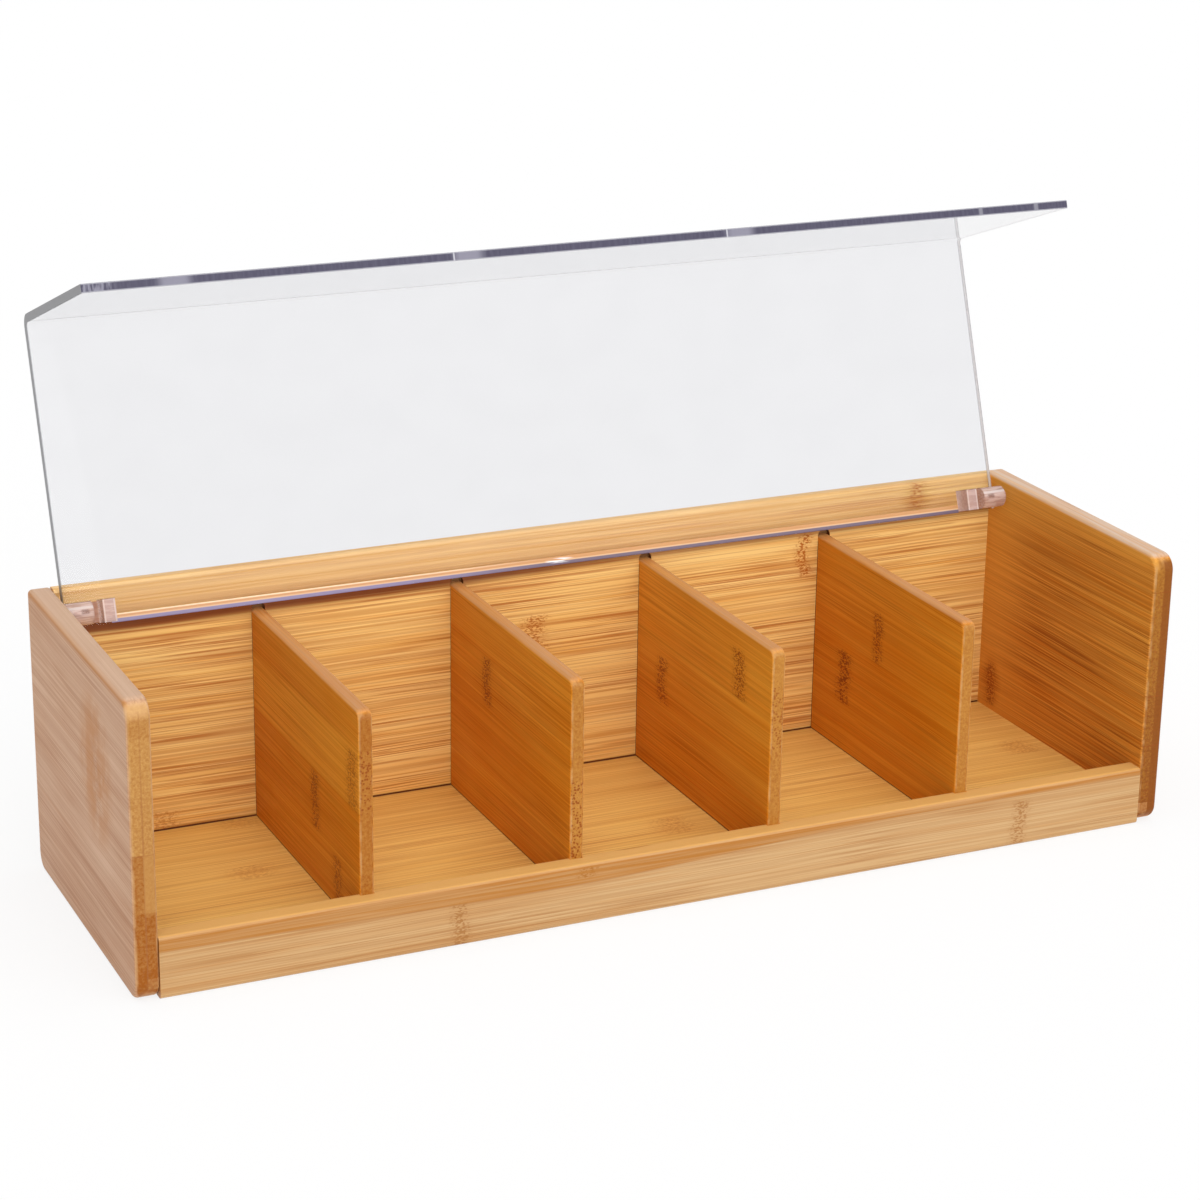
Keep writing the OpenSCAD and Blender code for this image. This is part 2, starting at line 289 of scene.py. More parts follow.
def line_at(tree, value, at, width):
    """A mask that is 1 within width of a plane and fades just past it."""
    return span(tree, apart(tree, value, at), width * 1.6, width * 0.6)


def near_spot(tree, first, second, middle, reach):
    """A soft round mask, 1 at the middle and 0 at its reach, on two coordinates."""
    off_first = calc(tree, "DIVIDE", less(tree, first, middle[0]), reach[0])
    off_second = calc(tree, "DIVIDE", less(tree, second, middle[1]), reach[1])
    square = scaled(tree, off_first, off_first, times(tree, off_second, off_second))
    return span(tree, square, 1.0, 0.0)


def blend_colour(tree, factor, *pair):
    """Two colours mixed by a factor. Each is a socket or three values."""
    first, second = [item if isinstance(item, bpy.types.NodeSocket) else flat(item) for item in pair]
    return put(tree, "Mix", {0: factor, 6: first, 7: second}, data_type="RGBA").outputs[2]


def lay(tree, body, over, *masks):
    """A colour laid over a body where all the masks are 1."""
    return blend_colour(tree, times(tree, *masks), body, over)


def parts(tree, vector):
    """The three values of a vector."""
    return put(tree, "SeparateXYZ", {0: vector}).outputs


def combine(tree, x, y, z):
    """A vector from three values."""
    return put(tree, "CombineXYZ", {0: x, 1: y, 2: z}).outputs[0]


def stretched(tree, along, across, through, shift, long_scale, wide_scale):
    """A place squeezed along the grain, so that a pattern there draws fibres."""
    x, y = times(tree, along, long_scale), times(tree, across, wide_scale)
    return combine(tree, x, y, scaled(tree, through, wide_scale, shift))


def streaky(tree, along, across, through, shift, long_scale, wide_scale, detail=2.0, rough=0.5):
    """Noise from 0 to 1, drawn out along the grain. The scales are turns per millimetre."""
    place = stretched(tree, along, across, through, shift, long_scale, wide_scale)
    inputs = {"Vector": place, "Scale": 1.0, "Detail": detail, "Roughness": rough}
    return put(tree, "TexNoise", inputs).outputs["Fac"]


def bumped(tree, height, strength, depth_mm):
    """The direction of a surface roughened by a height from 0 to 1."""
    inputs = {"Height": height, "Strength": strength, "Distance": depth_mm * MM}
    return put(tree, "Bump", inputs).outputs["Normal"]


# ---------- shader groups


def new_group(name, inputs, outputs):
    """An empty shader group with sockets listed by kind, its values on the way in and its end node."""
    tree = bpy.data.node_groups.new(name, "ShaderNodeTree")
    for in_out, sockets in (("INPUT", inputs), ("OUTPUT", outputs)):
        for kind, labels in sockets.items():
            for label in labels:
                tree.interface.new_socket(name=label, in_out=in_out, socket_type="NodeSocket" + kind)
    return tree, tree.nodes.new("NodeGroupInput").outputs, tree.nodes.new("NodeGroupOutput")


def bamboo_group():
    """Laminated bamboo: strips, fibres, end grain and paler rounded edges, sanded and with a painted highlight, in
    millimetres along the grain.
    """
    tree, given, end_node = new_group(
        "Laminated bamboo",
        {
            "Vector": ("Place", "Facing"),
            "Color": (*TONES, "Rubbed And Highlit", "Strips"),
            "Float": ("Cloud Contrast", "Fibre Strength", "Streak Strength", "Seed"),
        },
        {"Color": ["Color"], "Float": ["Rough", "Height"]},
    )
    along, row, through = parts(tree, given["Place"])
    facing = [calc(tree, "ABSOLUTE", value) for value in parts(tree, given["Facing"])]
    tone, end_tone, pore_share = put(tree, "SeparateColor", {0: given["Strips"]}).outputs
    seed = given["Seed"]
    drift = streaky(tree, along, row, through, seed, 0.007, 0.02, 1.0)
    across = scaled(tree, drift, 2.5, row)

    def layer(shift, long_scale, wide_scale, detail=1.0, rough=0.5):
        """One layer of noise on the drifting grain, moved by its own shift."""
        moved = calc(tree, "ADD", seed, shift)
        return streaky(tree, along, across, through, moved, long_scale, wide_scale, detail, rough)

    # Each strip's tone, with wide clouds and broad bands over it.
    cloud = layer(0.0, 0.02, 0.05, 2.0)
    cloud_tone = times(tree, less(tree, cloud, 0.5), given["Cloud Contrast"])
    broad_tone = scaled(tree, layer(3.7, 0.006, 0.3, 3.0, 0.6), 1.2, -0.6)
    depth = calc(tree, "ADD", calc(tree, "ADD", tone, cloud_tone), broad_tone)
    body = blend_colour(tree, depth, given["Pale"], given["Deep"])
    streak = span(tree, layer(11.0, 0.009, 0.6, 3.0, 0.65), 0.54, 0.68)
    body = lay(tree, body, given["Streak"], streak, given["Streak Strength"])

    # Fibres: broken lines and short dashes in patches, fine hairs everywhere, and pale gleams between.
    lines = span(tree, layer(23.0, 0.005, 1.45), 0.54, 0.58)
    breaks = span(tree, layer(27.0, 0.014, 0.9), 0.38, 0.52)
    dashes = span(tree, layer(31.0, 0.02, 1.6), 0.56, 0.62, 0.0, 0.7)
    patch = span(tree, layer(43.0, 0.018, 0.09), 0.36, 0.62, 0.5, 1.0)
    hairs = span(tree, layer(19.0, 0.006, 1.9), 0.47, 0.6, 0.0, 0.5)
    fibres = most(tree, times(tree, most(tree, times(tree, lines, breaks), dashes), patch), hairs)
    gleams = span(tree, layer(37.0, 0.006, 1.5), 0.54, 0.6, 0.0, 0.8)
    body = lay(tree, body, given["Pale"], gleams, given["Fibre Strength"])
    body = lay(tree, body, given["Fibre"], fibres, given["Fibre Strength"])

    # End grain: mottled, with dark pores.
    end = span(tree, facing[0], 0.55, 0.85)
    mottle = streaky(tree, 0.0, row, through, seed, 1.0, 0.9, 3.0, 0.7)
    end_depth = calc(tree, "ADD", end_tone, scaled(tree, mottle, 1.6, -0.8))
    body = lay(tree, body, blend_colour(tree, end_depth, given["End Pale"], given["End Deep"]), end)
    cells = put(tree, "TexVoronoi", {"Vector": stretched(tree, 0.0, row, through, seed, 1.0, 1.0), "Scale": 1.0})
    pores = times(tree, span(tree, cells.outputs["Distance"], 0.5, 0.28), end, pore_share)
    body = lay(tree, body, given["Fibre"], pores)

    # Paler rounded edges, where no axis faces straight out, in patches: sanded wear and a painted highlight where the
    # roundings catch the light.
    edge = span(tree, most(tree, *facing), 0.985, 0.8)
    patchy = span(tree, layer(57.0, 0.03, 0.2, 2.0), 0.3, 0.7, 0.0, 0.4)
    body = lay(tree, body, given["Rubbed And Highlit"], edge, patchy)

    rough = scaled(tree, fibres, 0.1, scaled(tree, cloud, 0.14, -0.07))
    height = less(tree, 1.0, most(tree, times(tree, fibres, 0.6), pores))
    fill(tree, end_node, {"Color": body, "Rough": rough, "Height": height})


def knuckle_group():
    """The band of short dark flecks where the stem had a joint, one strip wide."""
    tree, given, end_node = new_group(
        "Bamboo knuckle",
        {"Vector": ["Place"], "Float": ("Along", "Across", "Half Height", "Half Length", "Strength", "Seed")},
        {"Float": ["Mask"]},
    )
    along, across, through = parts(tree, given["Place"])
    bend = streaky(tree, 0.0, across, through, given["Seed"], 1.0, 0.12, 1.0)
    middle = scaled(tree, less(tree, bend, 0.5), 6.0, given["Along"])
    off_along = calc(tree, "DIVIDE", apart(tree, along, middle), given["Half Length"])
    off_across = calc(tree, "DIVIDE", apart(tree, across, given["Across"]), given["Half Height"])
    near = times(tree, span(tree, off_along, 1.25, 0.15), span(tree, off_across, 1.1, 0.8))
    flecks = streaky(tree, along, across, through, given["Seed"], 0.8, 1.7, 1.0)
    flecks = span(tree, scaled(tree, near, 0.12, flecks), 0.57, 0.68)
    halo = times(tree, near, 0.16)
    fill(tree, end_node, {"Mask": times(tree, most(tree, times(tree, flecks, near), halo), given["Strength"])})


def make_groups():
    """Builds the shared shader groups once."""
    if "Laminated bamboo" not in bpy.data.node_groups:
        bamboo_group()
        knuckle_group()


# ---------- materials


def blank(owner):
    """The emptied shader tree of a material or a world."""
    owner.use_nodes = True
    owner.node_tree.nodes.clear()
    return owner.node_tree


def new_material(name):
    """A new material, its tree and its main shader."""
    material = bpy.data.materials.new(name)
    tree = blank(material)
    shader = put(tree, "BsdfPrincipled")
    put(tree, "OutputMaterial", {"Surface": shader.outputs[0]})
    return material, tree, shader


def dress(material, *names):
    """Gives CAD nodes their material."""
    for name in names:
        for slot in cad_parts[name].material_slots:
            slot.material = material


def place_mm(tree):
    """Place on the piece in millimetres, as three values."""
    return [calc(tree, "DIVIDE", value, MM) for value in parts(tree, put(tree, "TexCoord").outputs["Object"])]


def grain_space(tree, axes):
    """Place in millimetres and facing, turned to along, across and through the grain, and place unturned."""
    spot = place_mm(tree)
    facing = parts(tree, put(tree, "TexCoord").outputs["Normal"])
    picks = ["XYZ".index(axis) for axis in axes]
    return combine(tree, *[spot[pick] for pick in picks]), combine(tree, *[facing[pick] for pick in picks]), spot


def strip_ramp(tree, place, strips):
    """The tone, end tone and pores of each strip, from the millimetre across the grain where it starts."""
    across = parts(tree, place)[1]
    low, high = strips[0][0], strips[-1][0] + 30.0
    ramp = put(tree, "ValToRGB", {0: span(tree, across, low, high, smooth=False)})
    points = ramp.color_ramp.elements
    for number, (start, *tones) in enumerate(strips):
        spot = (start - low) / (high - low)
        point = points[number] if number < len(points) else points.new(spot)
        point.position = spot
        point.color = flat(tones)
    ramp.color_ramp.interpolation = "CONSTANT"
    return ramp.outputs["Color"]


def bamboo(name, axes, piece, seed, strips, knuckles=(), clouds=0.5, fibres=0.5, streaks=0.4, shine=0.6,
           touches=None, seams=None):
    """A bamboo material for one kind of piece, with its own grain axes, strips, knuckles, touches and seams."""
    make_groups()
    look = bpy.context.scene.tea_box_bamboo
    tones = {tone: getattr(look, "%s_%s" % (piece, tone.lower().replace(" ", "_"))) for tone in TONES}
    material, tree, shader = new_material(name)
    place, facing, spot = grain_space(tree, axes)
    settings = {
        "Place": place, "Facing": facing, "Rubbed And Highlit": flat(look.rubbed_and_highlit), "Strips": strip_ramp(tree, place, strips),
        "Cloud Contrast": clouds, "Fibre Strength": fibres, "Streak Strength": streaks, "Seed": seed,
        **{tone: flat(chip) for tone, chip in tones.items()},
    }
    grain = put(tree, "Group", settings, node_tree=bpy.data.node_groups["Laminated bamboo"]).outputs
    body = grain["Color"]
    for number, knuckle in enumerate(knuckles):
        settings = dict(zip(("Along", "Across", "Half Height", "Half Length", "Strength"), knuckle))
        settings.update({"Place": place, "Seed": seed + number})
        flecks = put(tree, "Group", settings, node_tree=bpy.data.node_groups["Bamboo knuckle"])
        body = lay(tree, body, tones["Fibre"], flecks.outputs["Mask"])
    if touches:
        body = touches(tree, look, body, spot)
    if seams:
        body = lay(tree, body, look.seam, seams(tree, spot))
    fill(tree, shader, {
        "Base Color": body,
        "Roughness": calc(tree, "ADD", grain["Rough"], look.gloss),
        "Normal": bumped(tree, grain["Height"], 0.25, 0.12),
        "Specular IOR Level": shine,
    })
    return material


def let_lamps_through(material, passed):
    """Lets a share of the lamp light pass a clear part, so that the wood behind it stays lit."""
    tree = material.node_tree
    shader = next(node for node in tree.nodes if node.type == "BSDF_PRINCIPLED")
    output = next(node for node in tree.nodes if node.type == "OUTPUT_MATERIAL")
    path = put(tree, "LightPath").outputs
    passing = most(tree, path["Is Shadow Ray"], path["Is Diffuse Ray"])
    window = put(tree, "BsdfTransparent", {"Color": flat((passed, passed, passed))})
    mixed = put(tree, "MixShader", {0: passing, 1: shader.outputs[0], 2: window.outputs[0]})
    tree.links.new(mixed.outputs[0], output.inputs["Surface"])


# ---------- marks on the wood, in millimetres


def left_side_touches(tree, look, body, spot):
    """A brown cloud on the outer face, an orange outer top edge, a pinkish painted sheen along the top, a pale top
    front corner, sanded and with a painted highlight, and a pieced front edge.
    """
    x, y, z = spot
    outward = span(tree, parts(tree, put(tree, "TexCoord").outputs["Normal"])[0], -0.8, -0.95)
    cloud = near_spot(tree, y, z, LEFT_CLOUD, (22.0, 32.0))
    smear = span(tree, streaky(tree, y, z, 0.0, 0.0, 0.12, 0.08, 3.0, 0.7), 0.3, 0.6)
    body = lay(tree, body, look.side_streak, cloud, smear, outward, 0.85)
    rim = span(tree, x, 1.8 - OUTER, 0.7 - OUTER)
    body = lay(tree, body, look.side_streak, span(tree, z, SIDE_TOP - 3.4, SIDE_TOP - 1.4), rim, 0.7)
    # Painted sheen: a pinkish band along the top, standing in for the white room's reflection.
    body = lay(tree, body, look.top, span(tree, z, SIDE_TOP - 1.0, SIDE_TOP - 0.2), 0.45)
    # A pale patch on the rounded top front corner: sanded wear and a painted highlight.
    corner = times(tree, span(tree, z, SIDE_TOP - 7.4, SIDE_TOP - 3.4), span(tree, z, SIDE_TOP - 0.4, SIDE_TOP - 1.8))
    body = lay(tree, body, look.rubbed_and_highlit, corner, span(tree, y, FRONT + 3.5, FRONT + 2.0), 0.4)

    front = span(tree, y, FRONT + 0.8, FRONT + 0.2)
    joint = 4.0 - OUTER
    upright = times(tree, line_at(tree, x, joint, 0.25), span(tree, z, SIDE_TOP - 2.4, 40.0, 0.25, 0.6))
    cross = times(tree, line_at(tree, z, 50.6, 0.2), 0.5)
    low_cross = times(tree, line_at(tree, z, 31.5, 0.2), span(tree, x, joint - 0.3, joint + 0.1), 0.5)
    rims = most(tree, span(tree, x, 0.7 - OUTER, 0.2 - OUTER), span(tree, x, 7.4 - OUTER, 7.9 - OUTER))
    marks = most(tree, upright, cross, low_cross, times(tree, rims, 0.5))
    body = lay(tree, body, look.side_fibre, marks, front)
    pale_block = times(tree, span(tree, z, 52.0, 49.5), span(tree, z, 29.0, 32.0))
    return lay(tree, body, look.side_end_pale, pale_block, span(tree, x, joint - 0.4, joint + 0.1), front, 0.5)


def right_side_touches(tree, look, body, spot):
    """A darker outer ply on the front edge, paler wood at the rear and the shoulder, and a paler, pinker top in
    patches, a painted sheen.
    """
    x, y, z = spot
    front = span(tree, y, FRONT + 1.9, FRONT + 0.9)
    body = lay(tree, body, look.right_end_deep, span(tree, x, OUTER - 4.4, OUTER - 3.6), front, 0.8)
    crossings = [line_at(tree, z, height, 0.2) for height in (89.0, 49.4, 30.1)]
    body = lay(tree, body, look.right_fibre, most(tree, *crossings), front, 0.5)
    inner_face = span(tree, x, OUTER - 5.4, OUTER - 6.8)
    knot = near_spot(tree, y, z, RIGHT_KNOT, (9.0, 13.0))
    rear = times(tree, span(tree, y, -45.0, -4.0), scaled(tree, knot, -0.6, 0.6))
    body = lay(tree, body, look.right_pale, rear, inner_face)
    body = lay(tree, body, look.right_pale, span(tree, z, SIDE_TOP - 7.4, SIDE_TOP - 0.9), inner_face, 0.6)
    patchy = span(tree, streaky(tree, y, x, z, 5.0, 0.03, 1.1), 0.35, 0.65, 0.6, 1.0)
    # Painted sheen: the pinkish top tone in patches, standing in for the white room's reflection.
    body = lay(tree, body, look.top, span(tree, z, SIDE_TOP - 1.4, SIDE_TOP - 0.2), patchy)
    rim = times(tree, span(tree, x, OUTER - 1.1, OUTER - 0.3), span(tree, z, SIDE_TOP - 2.4, SIDE_TOP - 0.9))
    return lay(tree, body, look.right_fibre, rim, 0.5)


def back_touches(tree, look, body, spot):
    """Paler wood behind the lid, a dark line in the shade of its foot, and dark ends of the divider housings."""
    x, y, z = spot
    no_knot = less(tree, 1.0, near_spot(tree, x, z, BACK_KNOT, (9.0, 9.0)))
    behind = times(tree, span(tree, z, 88.5, 91.5), span(tree, x, 20.0, 180.0, 0.6, 0.3), no_knot)
    body = lay(tree, body, look.back_high, behind)
    lines = span(tree, streaky(tree, x, z, y, 9.0, 0.006, 0.9, 1.5), 0.5, 0.62)
    body = lay(tree, body, look.back_deep, lines, behind, 0.7)
    rise = span(tree, x, -60.0, 60.0, 0.0, 1.9)
    shade = times(tree, span(tree, less(tree, z, rise), 83.0, 86.8), span(tree, z, 89.2, 88.4))
    strength = span(tree, x, -60.0, 60.0, 0.95, 0.75)
    body = lay(tree, body, look.foot_shade, shade, strength, span(tree, y, BACK_FACE + 0.6, BACK_FACE + 0.2))
    inside = times(tree, span(tree, y, BACK_FACE + 0.1, BACK_FACE + 0.4), span(tree, y, 2.0, 1.5))
    return lay(tree, body, look.seam, inside, span(tree, z, 91.0, 90.0), 0.85)


def back_seam(tree, spot):
    """The dark joint where the floor enters the back panel's front face."""
    return times(tree, line_at(tree, spot[2], FLOOR_TOP, 0.5), span(tree, spot[1], 1.0, 0.0))


def floor_seam(tree, spot):
    """The dark joint along the floor's rear."""
    return line_at(tree, spot[1], BACK_FACE, 0.4)


def divider_touches(tree, look, body, spot):
    """A paler top edge in patches: painted sheen of the light from above."""
    x, y, z = spot
    patchy = span(tree, streaky(tree, y, x, z, 3.0, 0.03, 1.4), 0.35, 0.65, 0.55, 0.95)
    # Painted sheen along the top edge, in patches.
    return lay(tree, body, look.divider_top, span(tree, z, DIVIDER_TOP - 1.1, DIVIDER_TOP - 0.2), patchy)


def divider_seams(tree, spot):
    """The dark joint along a divider's foot and up its rear, below the rounded top."""
    below_top = span(tree, spot[2], DIVIDER_TOP - 1.5, DIVIDER_TOP - 2.5)
    rear = times(tree, line_at(tree, spot[1], BACK_FACE, 0.35), below_top)
    return most(tree, line_at(tree, spot[2], FLOOR_TOP, 0.35), rear)


def rail_touches(tree, look, body, spot):
    """A deeper upper strip above a drifting joint, a golden top and a cream line along its rounded front edge, a
    painted highlight.
    """
    x, y, z = spot
    left_rise = span(tree, x, -46.0, -185.0, 0.0, 1.7)
    joint = calc(tree, "ADD", span(tree, x, -46.0, 90.0, 14.7, 19.2), left_rise)
    front = span(tree, y, FRONT + 1.6, FRONT + 0.9)
    upper = span(tree, less(tree, z, joint), -0.3, 0.5)
    grain = span(tree, streaky(tree, x, z, y, 6.0, 0.02, 1.2), 0.35, 0.65, 0.5, 0.9)
    body = lay(tree, body, look.rail_deep, upper, front, grain)
    body = lay(tree, body, look.rail_fibre, line_at(tree, z, joint, 0.2), front, 0.35)
    body = lay(tree, body, look.rail_top, span(tree, z, RAIL_TOP - 0.5, RAIL_TOP - 0.1), 0.85)
    # Painted highlight: a cream line along the rounded front top edge.
    rounding_highlight = line_at(tree, z, RAIL_TOP - 0.55, 0.25)
    body = lay(tree, body, look.rubbed_and_highlit, rounding_highlight, span(tree, y, FRONT + 1.3, FRONT + 0.9), 0.25)
    return lay(tree, body, look.rail_deep, near_spot(tree, x, y, (-16.0, -108.5), (9.0, 1.6)), 0.6)


# ---------- the lid and its hinges


def lid_reach():
    """How far up the lean the lid's foot lies, and how far out its sheet's front."""
    spots = [vertex.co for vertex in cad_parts["lid"].data.vertices]
    foot = min(spot[1] * LEAN_SIN + spot[2] * LEAN_COS for spot in spots)
    return foot, max(spot[2] * LEAN_SIN - spot[1] * LEAN_COS for spot in spots) - FLAP_REACH


def lid_place(tree):
    """Place on the lid in millimetres: along the hinge, up from the foot and out from the sheet's front."""
    foot, front = lid_reach()
    x, y, z = place_mm(tree)
    up = scaled(tree, y, LEAN_SIN, times(tree, z, LEAN_COS))
    out = scaled(tree, y, -LEAN_COS, times(tree, z, LEAN_SIN))
    return x, less(tree, up, foot / MM), less(tree, out, front / MM)


def lid_strip(name, outline, left, right, material):
    """A thin strip along the lid, from its outline in up and out and its two ends."""
    mesh = bpy.data.meshes.new(name)
    shape = bmesh.new()
    places = [(up * LEAN_SIN - out * LEAN_COS, up * LEAN_COS + out * LEAN_SIN) for up, out in outline]
    rows = [[shape.verts.new((across, *place)) for place in places] for across in (left, right)]
    for spot in range(len(outline)):
        after = (spot + 1) % len(outline)
        shape.faces.new((rows[0][spot], rows[0][after], rows[1][after], rows[1][spot]))
    shape.faces.new(rows[0])
    shape.faces.new(rows[1])
    bmesh.ops.recalc_face_normals(shape, faces=shape.faces)
    shape.to_mesh(mesh)
    shape.free()
    mesh.materials.append(material)
    piece = bpy.data.objects.new(name, mesh)
    bpy.context.scene.collection.objects.link(piece)
    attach(piece, "lid")


def sheet_outline(inset):
    """The bent sheet's outline seen from its end, in up and out, drawn in by a little."""
    foot, front = lid_reach()
    middle = (foot + FLAP_RISE - SHEET_THICK - BEND_INSIDE, front + BEND_INSIDE)
    turns = [math.radians(15.0 * step) for step in range(7)]
    outer, inner = BEND_INSIDE + SHEET_THICK - inset, BEND_INSIDE + inset
    bottom, tip = foot + inset, front + FLAP_REACH - inset
    outside = [(middle[0] + outer * math.sin(turn), middle[1] - outer * math.cos(turn)) for turn in turns]
    inside = [(middle[0] + inner * math.sin(turn), middle[1] - inner * math.cos(turn)) for turn in reversed(turns)]
    flap = [(outside[-1][0], tip), (inside[0][0], tip)]
    return [(bottom, outside[0][1])] + outside + flap + inside + [(bottom, inside[-1][1])]


def edge_outline():
    """The outline of the strip over the flap's sawn edge: tucked in at its two long sides, proud between."""
    foot, front = lid_reach()
    high = foot + FLAP_RISE
    low, tip = high - SHEET_THICK, front + FLAP_REACH
    tucked, proud = 0.02 * MM, 0.05 * MM
    return [(low + tucked, tip - tucked), (low + 2 * proud, tip + proud), (high - 2 * proud, tip + proud),
            (high - tucked, tip - tucked)]


def foot_outline():
    """The outline of the bead on the foot: how far it stands proud at each height, in millimetres."""
    foot, front = lid_reach()
    proud = {0.0: -0.02, 0.3: 0.1, 1.0: 0.16, 1.5: 0.12, 1.8: 0.08, 2.3: 0.1, 2.8: 0.08, 3.0: -0.02}
    return [(foot + up * MM, front + out * MM) for up, out in proud.items()]


def clear_sheet(look):
    """The lid's clear sheet, faintly scuffed, with duller ends."""
    material, tree, shader = new_material("Clear sheet")
    across, up, out = lid_place(tree)
    ends = span(tree, calc(tree, "ABSOLUTE", across), SHEET_W / MM - 0.4, SHEET_W / MM - 0.1)
    scuffs = streaky(tree, across, up, out, 2.0, 0.05, 0.06, 3.0)
    tint = blend_colour(tree, span(tree, scuffs, 0.3, 0.8, 0.0, 0.03), look.sheet, look.sheet_rim)
    fill(tree, shader, {
        "Base Color": lay(tree, tint, look.sheet_rim, ends),
        "Roughness": scaled(tree, ends, 0.25, times(tree, scuffs, 0.006)),
        "Normal": bumped(tree, scuffs, 0.01, 0.1),
        "Transmission Weight": 1.0,
        "IOR": 1.49,
        "Specular Tint": flat((0.1, 0.1, 0.1)),
    })
    let_lamps_through(material, 0.97)
    return material


def sawn_edge(look):
    """The flap's dark sawn edge: matt patches, a mottled left end, pale nicks and cuts, and pale borders."""
    material, tree, shader = new_material("Sawn edge")
    across, up, out = lid_place(tree)
    height = less(tree, up, (FLAP_RISE - SHEET_THICK) / MM)
    core = times(tree, span(tree, height, 0.2, 0.5), span(tree, height, 2.8, 2.5))
    saw = streaky(tree, up, across, out, 4.0, 0.15, 0.9)
    body = blend_colour(tree, span(tree, saw, 0.35, 0.7, 0.0, 0.1), look.sheet_edge, look.sheet_worn)
    patches = [line_at(tree, across, at, reach) for at, reach in ((-152.3, 4.6), (-51.0, 4.4), (50.2, 4.4))]
    mottled = times(tree, span(tree, across, -171.0, -175.0), span(tree, saw, 0.4, 0.6))
    body = lay(tree, body, look.sheet_worn, most(tree, *patches, mottled), core, 0.8)
    nicks = most(tree, line_at(tree, across, 146.8, 0.7), line_at(tree, across, 169.9, 0.8))
    cuts = most(tree, line_at(tree, across, -56.2, 0.25), line_at(tree, across, 45.2, 0.25))
    borders = scaled(tree, core, -0.35, 0.35)
    body = lay(tree, body, CUT_WHITE, most(tree, times(tree, nicks, 0.2), times(tree, cuts, 0.5), borders))
    fill(tree, shader, {
        "Base Color": body,
        "Roughness": scaled(tree, saw, 0.2, 0.25),
        "Normal": bumped(tree, saw, 0.2, 0.05),
        "Specular IOR Level": 0.2,
    })
    return material


def sheet_end(look):
    """The sheet's two ends: the left one in shade, the right one in the light."""
    material, tree, shader = new_material("Sheet end")
    across, up, out = lid_place(tree)
    saw = streaky(tree, across, up, out, 0.1, 0.5, 0.5)
    body = blend_colour(tree, span(tree, across, -1.0, 1.0), look.left_end, look.right_end)
    body = lay(tree, body, look.sheet_worn, span(tree, saw, 0.3, 0.7, 0.0, 0.1))
    fill(tree, shader, {"Base Color": body, "Roughness": 0.3, "Specular IOR Level": 0.3})
    return material


def polished_foot(look):
    """The foot's violet and blush bands, duller to the right where the painted highlight fades, with painted
    highlights: cream lines and a white glint.
    """
    material, tree, shader = new_material("Polished foot")
    across, up, out = lid_place(tree)
    flecks = streaky(tree, across, up, out, 7.0, 0.1, 1.5)
    # Painted shade: right of the middle the foot turns greyer and darker, out of the highlight.
    out_of_highlight = span(tree, across, -70.0, 5.0)
    violet = blend_colour(tree, out_of_highlight, look.foot_violet, look.foot_grey)
    blush = blend_colour(tree, out_of_highlight, look.foot_blush, look.foot_wood)
    body = blend_colour(tree, span(tree, up, 1.2, 1.5), violet, blush)
    pale = scaled(tree, out_of_highlight, 0.1, 0.3)
    # Painted highlights: a faint cream line at the top of the violet band, and a brighter one higher up that fades out
    # to the right.
    body = lay(tree, body, look.foot_cream_highlight, line_at(tree, up, 1.5, 0.22), pale)
    line = times(tree, span(tree, up, 2.45, 2.62), span(tree, flecks, 0.2, 0.5, 0.6, 1.0))
    body = lay(tree, body, look.foot_cream_highlight, line, less(tree, 1.0, out_of_highlight))
    # Painted highlight: a white glint in the middle of the foot.
    glint = near_spot(tree, across, up, (0.0, 1.5), (6.5, 1.3))
    body = lay(tree, body, GLINT_WHITE, glint, span(tree, flecks, 0.45, 0.6))
    fill(tree, shader, {
        "Base Color": body,
        "Roughness": scaled(tree, flecks, 0.15, 0.15),
        "Normal": bumped(tree, flecks, 0.2, 0.05),
        "Specular IOR Level": 0.3,
    })
    return material


def clear_moulding(look):
    """A hinge moulding: streaks, a duller end block and recess, bright rims and a white band on the barrel as painted
    highlights, a dark window on the barrel, and painted shade along the top.
    """
    material, tree, shader = new_material("Clear moulding")
    across, up, out = lid_place(tree)
    side = calc(tree, "ABSOLUTE", across)
    near_end, far_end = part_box("hinge_block_right")[0][0] / MM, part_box("hinge_block_right")[1][0] / MM
    streaks = streaky(tree, across, up, out, 3.0, 0.2, 1.3)
    tint = blend_colour(tree, span(tree, streaks, 0.42, 0.6, 0.0, 0.55), look.moulding, look.moulding_deep)
    tint = lay(tree, tint, look.moulding_block, span(tree, side, near_end + 4.8, near_end + 4.2), 0.5)
    tint = lay(tree, tint, look.moulding_deep, line_at(tree, side, near_end + 6.0, 1.5), 0.8)
    # Painted highlights: bright rims on the end block's edges and a white band along the barrel.
    rims = most(tree, line_at(tree, side, near_end + 0.3, 0.25), line_at(tree, side, near_end + 4.1, 0.25))
    barrel = times(tree, span(tree, side, near_end + 7.4, near_end + 8.0), span(tree, out, 5.0, 6.0))
    highlight_stripe = times(tree, line_at(tree, up, 6.3, 0.4), barrel)
    tint = lay(tree, tint, MOULDING_HIGHLIGHT, most(tree, times(tree, rims, 0.6), highlight_stripe))
    # A dark window on the barrel, and painted shade along the top of the mouldings.
    window = times(tree, line_at(tree, up, 4.9, 0.7), line_at(tree, side, far_end - 7.0, 1.2), barrel)
    tint = lay(tree, tint, look.moulding_dark, most(tree, span(tree, up, 8.0, 8.4), window), 0.7)
    fill(tree, shader, {
        "Base Color": tint,
        "Roughness": scaled(tree, streaks, 0.12, 0.04),
        "Normal": bumped(tree, streaks, 0.25, 0.3),
        "Transmission Weight": 0.6,
        "IOR": 1.4,
    })
    let_lamps_through(material, 0.9)
    return material


